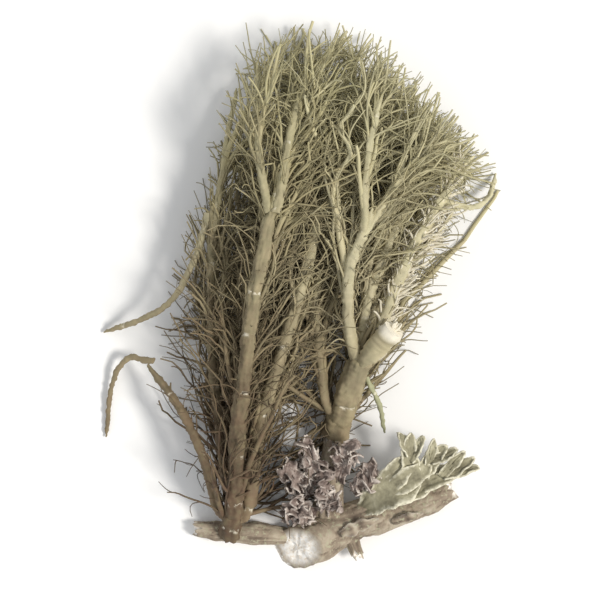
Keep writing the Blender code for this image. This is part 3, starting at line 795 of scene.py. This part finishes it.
# name: (route in millimetres, root and tip radius, habit, paleness)
STRANDS = {
    "left_holdfast": ([(-6, 0.5, 1.65), (-5.95, 0.95, 2.15), (-5.8, 1.5, 2.5)], 0.78, 0.7, "base", 0.1),
    "left_stem_outer": (
        [(-6.85, 1.95, 2.35), (-7.7, 5, 3.4), (-9.4, 8.6, 3.3), (-11.6, 11.6, 2)], 0.4, 0.24, "bare", 0.45,
    ),
    "left_stem_brown": (
        [(-5.8, 1.8, 2.9), (-5.4, 7.4, 5.4), (-4.8, 12.6, 6.8), (-4.1, 17.6, 7.4), (-3.1, 22.2, 7.2)], 0.6,
        0.46, "stem", 0.16,
    ),
    "left_stem_inner": (
        [(-4.85, 1.95, 2.3), (-4, 7.4, 3.8), (-2.7, 11.9, 4.6), (-1.4, 16, 5), (0.1, 22, 4.9)], 0.5, 0.4,
        "skirt", 0.55,
    ),
    "left_stem_thin": (
        [(-6.15, 2.4, 1.8), (-6.8, 8, 2.6), (-7.3, 14, 3.4), (-7.2, 21, 3.7)], 0.36, 0.3, "stem", 0.15,
    ),
    "left_stem_middle": (
        [(-5.5, 2.35, 1.55), (-5.3, 8, 1.6), (-4.7, 14, 1.7), (-3.4, 19.5, 1.5), (-2.2, 24, 1.1)], 0.34, 0.26,
        "skirt", 0.1,
    ),
    "outer_thread": (
        [(-11.85, 11.9, 1.85), (-13, 12, 1.2), (-14.1, 10.2, 0.6), (-14.5, 6.6, 0.2)], 0.22, 0.14, "bare",
        0.6,
    ),
    "brown_branch_tall": (
        [(-2.75, 22.5, 7.3), (-1.9, 27, 6.6), (-0.9, 30.6, 5), (1.9, 34.2, 2.6)], 0.36, 0.2, "branch", 0.35,
    ),
    "brown_branch_left": ([(-3.5, 22.5, 7.2), (-4.2, 27, 6.6), (-4, 31.6, 4.2)], 0.3, 0.18, "branch", 0.35),
    "inner_branch_right": (
        [(0.55, 22.3, 5.05), (2.2, 24.6, 5.1), (4.2, 26.6, 4.4), (6.0, 29.8, 1.8)], 0.32, 0.18, "branch", 0.8,
    ),
    "inner_branch_curl": (
        [(-0.05, 22.35, 4.7), (1.5, 25.6, 4), (1.2, 28.6, 3), (-0.7, 31, 1.6)], 0.28, 0.17, "branch", 0.9,
    ),
    "thin_branch_up": (
        [(-7.05, 21.3, 3.75), (-6.4, 25.6, 3.2), (-5.6, 30.4, 1.2)], 0.24, 0.16, "branch", 0.3,
    ),
    "thin_branch_hook": (
        [(-7.7, 21.2, 3.5), (-8.5, 18.6, 3.4), (-10.6, 15.4, 2.6), (-14.7, 13.8, 0.2)], 0.26, 0.18, "bare",
        0.7,
    ),
    "middle_thread": ([(-2.15, 24.3, 1.1), (-2.3, 27.6, 0.8), (-1.8, 30, 0.2)], 0.22, 0.15, "branch", 0.25),
    "right_holdfast": ([(1.15, 7.25, 1.6), (1.2, 7.65, 1.75), (1.35, 8.1, 2)], 0.98, 0.95, "base", 0.3),
    "right_trunk": ([(1.55, 8.45, 2.2), (2.1, 10.2, 3.1), (3, 12.2, 4.1)], 0.94, 0.85, "trunk", 0.5),
    "right_stub": ([(3.35, 12.2, 4.8), (4.2, 13.1, 5.35), (5.1, 14, 5.9)], 0.5, 0.86, "stub", 0.9),
    "right_stem_middle": (
        [(2.3, 12.65, 4.45), (1.9, 14.8, 5.2), (2.1, 18, 6.1), (3.2, 21, 6.4)], 0.42, 0.36, "stem", 0.9,
    ),
    "right_stem_feathery": (
        [(3.65, 12.4, 3.65), (4.5, 15, 4), (6.2, 19.2, 4.3), (8.2, 22.6, 4)], 0.42, 0.34, "feathery", 1,
    ),
    "right_stem_pale": (
        [(2.75, 12.85, 3.5), (3.2, 15.6, 3.9), (4.2, 18.6, 3.8), (5.4, 21.2, 3.5)], 0.36, 0.3, "stem", 0.95,
    ),
    "right_stem_left": (
        [(0.5, 8.95, 2.6), (0, 12.4, 3.3), (-0.2, 16.2, 3.8), (0.9, 20.6, 3.9)], 0.34, 0.28, "skirt", 0.35,
    ),
    "right_stem_lower": (
        [(0.75, 8.9, 1.4), (0.3, 12, 1.2), (-0.6, 16.4, 1.1), (-0.9, 20, 1)], 0.32, 0.26, "stem", 0.2,
    ),
    "right_stem_edge": (
        [(2, 8.95, 1.2), (3, 12.8, 1.1), (4.2, 17.4, 1.3), (5.2, 21.4, 1.2)], 0.32, 0.26, "stem", 0.4,
    ),
    "green_filament": ([(3.4, 10.4, 3), (4.1, 8.9, 2.6), (4.5, 7, 2.2)], 0.2, 0.13, "bare", 0.8),
    "middle_branch_right": (
        [(3.6, 21.3, 6.25), (5.2, 23.8, 6.0), (7.0, 25.6, 4.9), (8.9, 26.9, 3.2)], 0.3, 0.17, "branch", 0.8,
    ),
    "middle_branch_up": (
        [(3.05, 21.35, 6.65), (3.2, 25.0, 7.0), (3.9, 28.8, 6.2), (4.2, 32.6, 3.8)], 0.28, 0.17, "branch",
        0.6,
    ),
    "left_branch": ([(0.95, 20.9, 4), (1.9, 24.2, 3.4), (3.9, 28, 1.8)], 0.26, 0.16, "branch", 0.4),
    "feathery_branch_up": (
        [(8.35, 22.95, 4.15), (9.3, 24.0, 3.5), (10.3, 25.2, 2.4)], 0.3, 0.17, "branch", 0.95,
    ),
    "feathery_branch_hook": (
        [(8.65, 22.6, 3.7), (10.4, 22.3, 2.7), (11.6, 23, 1.4), (12.1, 24.6, 0.2)], 0.24, 0.16, "bare", 0.95,
    ),
    "pale_branch": ([(5.55, 21.5, 3.4), (7, 24, 2.6), (8.8, 25.6, 1.4)], 0.28, 0.17, "branch", 0.65),
    "lower_thread_left": ([(-1, 20.3, 1), (-1, 23.6, 0.7), (0.5, 27.4, 0.2)], 0.22, 0.15, "branch", 0.3),
    "edge_thread": ([(5.28, 21.65, 1.2), (6.8, 24, 0.8), (9, 24.9, 0.2)], 0.22, 0.15, "branch", 0.5),
}


# How green this strand has stayed; the others have dried out.
FRESH = {"green_filament": 0.7}
# How cream-coloured the fibrils are of a strand of this habit.
CREAM = {"stub": 1.0, "feathery": 0.75}
# How far a strand sways to its sides, and how far its root and its forked tip run on, in millimetres.
SWAY = 0.25
ROOT_REACH = 0.7
FORK_REACH = 1.3
GUIDE_POINTS = 60
# A thin strand cracks more seldom, and a thick one gets more faces round (root radii in millimetres).
THIN = 0.3
THICK = 0.55
# Where the stems come together, in their holdfast or trunk: the first names that fit count.
GATHERED = (
    (("left_stem",), (-5.9, 1.1, 2.1)),
    (("right_stem_left", "right_stem_lower", "right_stem_edge"), (1.35, 8.0, 1.9)),
    (("right_stem", "right_stub"), (2.8, 11.7, 3.8)),
)


def grow_strand(name, route, root, tip, habit, pale, seed):
    """One strand with all that sprouts from it. Its root runs on into what it grows from."""
    start, after = Vector(route[0]), Vector(route[1])
    origin = start - (after - start).normalized() * ROOT_REACH
    for names, place in GATHERED:
        if name.startswith(names):
            origin = Vector(place)
            break
    route = [origin, *route]
    if habit in ("stem", "skirt", "feathery"):
        # The stem's tip runs on between the branches that it forks into.
        end, before = Vector(route[-1]), Vector(route[-2])
        route.append(end + (end - before).normalized() * FORK_REACH)
    curve = bpy.data.curves.new(name, "CURVE")
    curve.dimensions = "3D"
    line = curve.splines.new("POLY")
    points = smooth_route(route, GUIDE_POINTS)
    line.points.add(len(points) - 1)
    for point, place, share in zip(line.points, points, np.linspace(0, 1, len(points))):
        point.co = (*(place * MM), 1.0)
        point.radius = (root + (tip - root) * share) * MM
    values = {
        "Material": BEARD, "Seed": seed, "Pale": pale, "Sway": SWAY, "Fresh": FRESH.get(name, 0.0),
        "Crack spacing": 6.5 if root < THIN else 4.6, "Body sides": 36 if root > THICK else 16,
        "Torn tip": float(habit == "stub"), "Fibril cream": CREAM.get(habit, 0.0),
        "Arch": ARCH, "Low corner": LOW_CORNER, "High corner": HIGH_CORNER,
    }
    for level, numbers in zip(LEVELS, HABITS[habit]):
        for part, number, unit in zip(HABIT_PARTS, numbers, HABIT_UNITS):
            values[f"{level} {part}"] = float(number * unit)
    return grown_piece(name + "_lichen", placed(name + "_guide", curve), STRAND, values)


for number, (name, (route, root, tip, habit, pale)) in enumerate(STRANDS.items()):
    piece = grow_strand(name, route, root, tip, habit, pale, seed=number * SEEDS_A_STRAND + FIRST_SEED)
    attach(piece, "root")
    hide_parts(name)


# ------------------------------------------------
# The crust lichen
# Small grey-mauve lobes, thin as paper and leathery, curled at their rims and crowded over the twig's fork.
# Each clump is held to the bark at its middle, and pale meal-like granules break out along the rims.
# ------------------------------------------------

LEAF_STEPS = 24
LEAF_ROWS = 14
TIP_ROUNDING = 0.72


def leaf(route, half_widths, thickness, seed, roll=0.0, cup=0.3, frill=0.0, waves=2.0, ragged=0.25, ribs=0.0):
    """A thin curled lobe along a route: its points, its faces and each point's nearness to the rim."""
    middle = smooth_route(route, LEAF_STEPS + 1)
    sideways, up = frames_along(middle)
    turn = math.radians(roll)
    across = sideways * math.cos(turn) + up * math.sin(turn)
    face = up * math.cos(turn) - sideways * math.sin(turn)
    sheet = np.zeros((LEAF_STEPS + 1, LEAF_ROWS + 1, 3))
    rim = np.zeros((LEAF_STEPS + 1, LEAF_ROWS + 1))
    for i in range(LEAF_STEPS + 1):
        at = i / LEAF_STEPS
        width = np.interp(at, np.linspace(0, 1, len(half_widths)), half_widths)
        past = max(0.0, at - TIP_ROUNDING) / (1 - TIP_ROUNDING)
        width *= max(0.12, math.sqrt(max(0.0, 1 - past ** 2)))
        for j in range(LEAF_ROWS + 1):
            v = 2 * j / LEAF_ROWS - 1
            edge = 1 + ragged * noise.noise(Vector((at * 6.0, math.copysign(2.0, v), seed)))
            near = max(abs(v) ** 3, past ** 3)
            swell = math.sin(2 * math.pi * (waves * at + 0.13 * seed) + (1.9 if v > 0 else 0.0))
            lift = cup * width * abs(v) ** 2.2 + frill * abs(v) ** 3 * swell + 0.4 * frill * past * swell
            lift += 0.07 * noise.noise(Vector((at * 5.0, v * 2.5, seed + 5.0)))
            lift += ribs * abs(noise.noise(Vector((at * 2.2, v * 4.0, seed + 9.0))))
            sheet[i, j] = middle[i] + across[i] * (width * edge * v) + face[i] * lift
            rim[i, j] = near
    normal = np.cross(np.gradient(sheet, axis=0), np.gradient(sheet, axis=1))
    normal /= np.maximum(np.linalg.norm(normal, axis=2), 1e-9)[:, :, None]
    half = 0.5 * thickness * (1 - 0.5 * rim)[:, :, None]
    points = np.concatenate([(sheet + normal * half).reshape(-1, 3), (sheet - normal * half).reshape(-1, 3)])
    under = sheet.shape[0] * sheet.shape[1]
    wide = LEAF_ROWS + 1
    faces = []
    for i in range(LEAF_STEPS):
        for j in range(LEAF_ROWS):
            a = i * wide + j
            faces.append((a, a + 1, a + wide + 1, a + wide))
            faces.append((under + a, under + a + wide, under + a + wide + 1, under + a + 1))
    border = list(range(wide)) + [i * wide + LEAF_ROWS for i in range(1, LEAF_STEPS + 1)]
    border += [LEAF_STEPS * wide + j for j in range(LEAF_ROWS - 1, -1, -1)]
    border += [i * wide for i in range(LEAF_STEPS - 1, 0, -1)]
    for a, b in zip(border, border[1:] + border[:1]):
        faces.append((b, a, under + a, under + b))
    return points, faces, np.concatenate([rim.ravel(), rim.ravel()])


def joined(leaves):
    """Several lobes as one set of points, faces and rim values."""
    points, faces, rims = [], [], []
    for lobe, lobe_faces, rim in leaves:
        faces += [tuple(len(points) + corner for corner in face) for face in lobe_faces]
        points += list(lobe)
        rims += list(rim)
    return points, faces, rims


def granule_tree():
    """Scatters small rounded granules over a lobe where it is near its rim."""
    tree, add, given = open_tree("granules", {
        "Geometry": ("Geometry",), "Material": ("Material",), "Float": ("Density", "Size"), "Int": ("Seed",),
    })
    near = add(MAP_RANGE, add(NAMED, "rim"), {"From Min": 0.35})
    dense = add(MATH, near, given["Density"], op="MULTIPLY")
    spots = add(
        "GeometryNodeDistributePointsOnFaces",
        {"Mesh": given["Geometry"], "Density": dense, "Seed": given["Seed"]}, distribute_method="RANDOM",
    )
    # Sockets 2, 3 and 8 are the least and greatest number and the seed.
    seed = add(MATH, given["Seed"], 3.0, op="ADD")
    size = add("FunctionNodeRandomValue", {2: 0.5, 3: 1.5, 8: seed}, data_type="FLOAT", out=1)
    size = add(MATH, size, given["Size"], op="MULTIPLY")
    grain = add("GeometryNodeMeshIcoSphere", {"Radius": 1.0, "Subdivisions": 2})
    grains = add(
        "GeometryNodeInstanceOnPoints",
        {"Points": spots, "Instance": grain, "Rotation": spots.node.outputs["Rotation"], "Scale": size},
    )
    grains = add("GeometryNodeRealizeInstances", grains)
    spot = add(VECTOR_MATH, add(POSITION), {"Scale": 1 / MM}, op="SCALE")
    dent = add(NOISE, spot, {"Scale": 9.0, "Detail": 1.0}, out="Color")
    dent = add(VECTOR_MATH, dent, (0.5, 0.5, 0.5), op="SUBTRACT")
    dent = add(VECTOR_MATH, dent, {"Scale": 0.06 * MM}, op="SCALE")
    grains = add(SET_POSITION, grains, {"Offset": dent})
    grains = add(STORE, grains, {"Name": "rim", "Value": 1.0})
    whole = add("GeometryNodeJoinGeometry", [given["Geometry"], grains])
    whole = add("GeometryNodeSetShadeSmooth", whole)
    whole = add("GeometryNodeRealizeInstances", whole)
    whole = add("GeometryNodeSetMaterial", whole, {"Material": given["Material"]})
    tree.links.new(whole, tree.nodes.new("NodeGroupOutput").inputs[0])
    return tree


GRANULES = granule_tree()


def mealy_piece(name, leaves, material, density, size, seed):
    """The lobes as one piece with granules on their rims."""
    points, faces, rims = joined(leaves)
    base = face_outwards(new_piece(name + "_base", points, faces, {"rim": rims}, material))
    values = {"Material": material, "Density": density, "Size": size, "Seed": seed}
    return grown_piece(name, base, GRANULES, values)


def crust_lichen():
    """Leathery crust lichen: mauve-grey, cloudy, chalky white along the rims as meal and painted highlight.
    """
    material, add, shader, place = blank_material("crust_lichen", 0.86)
    rim = add(ATTRIBUTE, attribute_name="rim", out="Fac")
    cloud = add(NOISE, place, {"Scale": 1.5, "Detail": 5.0, "Roughness": 0.65})
    skin_colour = add(
        RAMP, cloud, stops=[(0.3, "463830"), (0.42, "6C5C54"), (0.54, "8C7C73"), (0.68, "B3A59B")],
    )
    fine = add(NOISE, place, {"Scale": 5.0, "Detail": 3.0})
    # Pale along the rims: partly meal, partly painted highlight on the curled rims, broken into patches.
    chalk_and_highlight = add(MATH, rim, fine, op="MULTIPLY")
    chalk_and_highlight = add(MAP_RANGE, chalk_and_highlight, {"From Min": 0.16, "From Max": 0.5})
    patch = add(NOISE, place, {"Scale": 0.8, "Detail": 2.0})
    patch = add(MAP_RANGE, patch, {"From Min": 0.4, "From Max": 0.62, "To Min": 0.2})
    chalk_and_highlight = add(MATH, chalk_and_highlight, patch, op="MULTIPLY")
    colour = add(MIX, {"Factor": chalk_and_highlight, 6: skin_colour, 7: linear("D9CEC2")}, data_type="RGBA", out=2)
    dress(add, shader, colour, fine, 0.5, 0.07)
    return material


CRUST = crust_lichen()
CRUST_THICKNESS = 0.13
CRUST_LEAVES = 11
CRUST_SEED = 31

# name: (route of the clump's middle, roll)
CRUST_LOBES = {
    "crust_lobe_1": ([(-0.85, 2.9, 2.6), (-1.7, 4.0, 3.1), (-2.2, 5.3, 2.8)], -20),
    "crust_lobe_2": ([(-0.1, 3.9, 2.9), (-0.5, 5.1, 3.4), (-0.8, 6.4, 3.1)], 14),
    "crust_lobe_3": ([(1.45, 3.9, 2.9), (1.8, 5.1, 3.4), (1.9, 6.3, 3.1)], 10),
    "crust_lobe_4": ([(2.6, 3.1, 2.4), (3.3, 4.0, 2.9), (3.7, 5.2, 2.6)], 20),
    "crust_lobe_5": ([(-0.5, 1.5, 2.6), (-1.4, 1.8, 3.0), (-2.4, 1.9, 2.6)], -10),
    "crust_lobe_6": ([(0.9, 1.9, 2.6), (0.4, 2.6, 3.3), (0.3, 3.2, 3.9)], 8),
}

for number, (name, (route, roll)) in enumerate(CRUST_LOBES.items()):
    dice = random.Random(CRUST_SEED + number)
    start, middle, end = (Vector(p) for p in route)
    main = (end - start).normalized()
    leaves = [leaf(
        [start - main * 0.3 - Vector((0, 0, 0.5)), middle, end], (0.35, 0.55, 0.4), CRUST_THICKNESS,
        seed=number + 1.0, roll=roll, cup=0.5, frill=0.3, waves=3.5, ragged=0.6, ribs=0.3,
    )]
    for k in range(CRUST_LEAVES):
        root = start.lerp(end, dice.uniform(0.0, 0.9)) + Vector((0, 0, dice.uniform(-0.7, 0.2)))
        swing = math.radians(dice.uniform(0, 130)) * (1 if k % 2 else -1)
        side = Vector(
            (
                main.x * math.cos(swing) - main.y * math.sin(swing),
                main.x * math.sin(swing) + main.y * math.cos(swing), 0,
            ),
        )
        length = dice.uniform(0.5, 1.25)
        peak = root + side * length * 0.6 + Vector((0, 0, dice.uniform(0.2, 0.7)))
        tip = root + side * length * 0.9 + Vector((0, 0, dice.uniform(-0.1, 0.9)))
        leaves.append(
            leaf(
                [root, peak, tip], (0.2, dice.uniform(0.28, 0.5), dice.uniform(0.3, 0.5)), CRUST_THICKNESS,
                seed=number * 10.0 + k, roll=dice.uniform(-70, 70), cup=dice.uniform(-0.5, 1.1), frill=0.26,
                waves=2.6, ragged=0.7, ribs=0.35,
            ),
        )
    piece = mealy_piece(name + "_frill", leaves, CRUST, density=5e6, size=0.055 * MM, seed=50 + number)
    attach(piece, "root")
    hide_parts(name)


# ------------------------------------------------
# The strap lichen
# Flat, wrinkled grey-green straps, stiff as card, that fork at their tips. They spread from one short base
# on the twig's far end; the base and the three fingers are separate pieces that overlap at their roots.
# ------------------------------------------------

def strap_lichen():
    """Strap lichen: dull grey-green; straw-white granules, and rims straw-white with meal and painted
    highlight.
    """
    material, add, shader, place = blank_material("strap_lichen", 0.8)
    rim = add(ATTRIBUTE, attribute_name="rim", out="Fac")
    cloud = add(NOISE, place, {"Scale": 0.9, "Detail": 5.0, "Roughness": 0.65})
    top = add(RAMP, cloud, stops=[(0.28, "5F5945"), (0.42, "857F67"), (0.56, "9D977C"), (0.72, "B7B196")])
    fine = add(NOISE, place, {"Scale": 4.0, "Detail": 3.0})
    # Straw-white along the rims: partly meal, partly painted highlight.
    meal_and_highlight = add(MATH, rim, fine, op="MULTIPLY")
    meal_and_highlight = add(MAP_RANGE, meal_and_highlight, {"From Min": 0.2, "From Max": 0.55})
    colour = add(MIX, {"Factor": meal_and_highlight, 6: top, 7: linear("E0DAC2")}, data_type="RGBA", out=2)
    wrinkle = add(NOISE, place, {"Scale": 3.0, "Detail": 4.0, "Distortion": 0.8})
    dress(add, shader, colour, wrinkle, 0.6, 0.1)
    return material


STRAP = strap_lichen()
STRAP_THICKNESS = 0.2

# name: lobes, each (route, half widths, roll)
STRAPS = {
    "strap_base": [
        ([(2.9, 1.7, 1.7), (4.7, 3.0, 3.05), (6.9, 3.9, 2.9)], (0.5, 1.3, 1.15), 12),
        ([(3.8, 2.7, 2.6), (5.2, 4.2, 3.25), (6.2, 5.3, 3.2)], (0.5, 0.9, 0.75), -6),
        ([(4.0, 2.1, 2.5), (5.9, 2.7, 2.9), (7.7, 3.6, 2.75)], (0.4, 0.75, 0.7), 26),
        ([(4.2, 2.8, 2.7), (6.0, 3.8, 3.35), (7.6, 4.8, 3.05)], (0.4, 0.8, 0.6), 2),
    ],
    "strap_finger_left": [
        ([(6.2, 4.3, 3.05), (6.1, 5.8, 3.6), (6.2, 7.0, 4.0)], (0.7, 0.56, 0.32), -12),
        ([(6.15, 5.5, 3.55), (5.7, 6.4, 3.9), (5.35, 7.0, 3.9)], (0.34, 0.38, 0.24), -30),
        ([(6.2, 5.1, 3.4), (6.75, 6.0, 3.7), (7.05, 6.8, 4.1)], (0.34, 0.38, 0.24), 22),
    ],
    "strap_finger_middle": [
        ([(7.0, 4.2, 2.95), (7.9, 5.4, 3.0), (8.7, 6.15, 3.3)], (0.62, 0.56, 0.34), 0),
        ([(7.7, 5.1, 3.0), (8.6, 5.4, 3.2), (9.4, 5.9, 3.5)], (0.36, 0.4, 0.26), 18),
        ([(7.4, 4.8, 3.0), (7.6, 5.7, 3.3), (7.8, 6.6, 3.4)], (0.32, 0.36, 0.24), -24),
    ],
    "strap_finger_right": [
        ([(6.9, 3.4, 2.72), (8.8, 4.2, 2.6), (10.6, 5.25, 2.45)], (0.75, 0.62, 0.34), 16),
        ([(8.5, 4.0, 2.65), (9.7, 4.3, 2.6), (10.9, 4.6, 2.5)], (0.38, 0.42, 0.26), 30),
        ([(8.3, 4.0, 2.7), (9.1, 4.9, 2.95), (9.9, 5.75, 3.1)], (0.34, 0.38, 0.24), -8),
    ],
}

for number, (name, lobes) in enumerate(STRAPS.items()):
    leaves = []
    for k, (route, half_widths, roll) in enumerate(lobes):
        leaves.append(
            leaf(
                route, half_widths, STRAP_THICKNESS, seed=number * 7.0 + k, roll=roll, cup=0.35, frill=0.1,
                waves=1.4, ragged=0.3, ribs=0.16,
            ),
        )
    piece = mealy_piece(name + "_straps", leaves, STRAP, density=2.5e6, size=0.05 * MM, seed=80 + number)
    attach(piece, "root")
    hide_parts(name)


# ------------------------------------------------
# The bark flakes
# Two thin scales of dead bark that have split and lifted off the twig along one edge.
# ------------------------------------------------

FLAKE_THICKNESS = 0.13
BARK_FLAKES = {
    "bark_flake_1": ([(1.5, 0.05, 2.35), (2.9, 0.65, 2.6), (4.1, 1.12, 2.4)], (0.25, 0.5, 0.36, 0.16), -14),
    "bark_flake_2": ([(5.0, 0.88, 2.25), (6.0, 1.15, 2.5), (7.1, 1.5, 2.45)], (0.2, 0.36, 0.3, 0.12), -30),
}
for number, (name, (route, half_widths, roll)) in enumerate(BARK_FLAKES.items()):
    points, faces, rim = leaf(
        route, half_widths, FLAKE_THICKNESS, seed=4.0 + number, roll=roll, cup=-0.35, frill=0.08, ragged=0.6,
        ribs=0.1,
    )
    relief = [0.42 + 0.6 * noise.noise(Vector(p * 2.4)) for p in points]
    wood = 0.16 * rim
    piece = face_outwards(new_piece(name + "_bark", points, faces, {"relief": relief, "wood": wood}, BARK))
    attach(piece, "root")
    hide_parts(name)


# ------------------------------------------------
# The floor, light and camera
# A plain white table top, one soft light from the right and a pale sky, seen from straight above.
# ------------------------------------------------

def table_top():
    """Matte white card, faintly uneven in tone."""
    material, add, shader, place = blank_material("white_table", 0.9)
    cloud = add(NOISE, place, {"Scale": 0.02, "Detail": 2.0})
    tint = add(RAMP, cloud, stops=[(0.3, "F4F3F1"), (0.7, "F8F7F5")])
    material.node_tree.links.new(tint, shader.inputs["Base Color"])
    return material


FLOOR_SIZE = 1.2
floor_mesh = bpy.data.meshes.new("floor")
half = FLOOR_SIZE / 2
floor_mesh.from_pydata(
    [(-half, -half, 0), (half, -half, 0), (half, half, 0), (-half, half, 0)], [], [(0, 1, 2, 3)],
)
floor_mesh.materials.append(table_top())
floor = placed("floor", floor_mesh)

key_data = bpy.data.lights.new("key_light", "SUN")
key_data.energy = 2.55
key_data.angle = math.radians(14)
key_data.color = (1.0, 0.97, 0.92)
placed("key_light", key_data).rotation_euler = (math.radians(8), math.radians(39), 0)

sky = bpy.data.worlds.new("pale_sky")
sky.use_nodes = True
glow = sky.node_tree.nodes["Background"].inputs
glow["Color"].default_value = linear("F1F4F8")
glow["Strength"].default_value = 0.72
bpy.context.scene.world = sky
bpy.context.scene.view_settings.view_transform = "Standard"

CAMERA_HEIGHT = 0.4
FRAME_WIDTH = 0.041
centre = (cad_low + cad_high) / 2
lens = bpy.data.cameras.new("camera")
lens.sensor_width = 36
lens.lens = lens.sensor_width * CAMERA_HEIGHT / FRAME_WIDTH
camera = placed("camera", lens)
camera.location = (centre.x, centre.y, CAMERA_HEIGHT)
bpy.context.scene.camera = camera
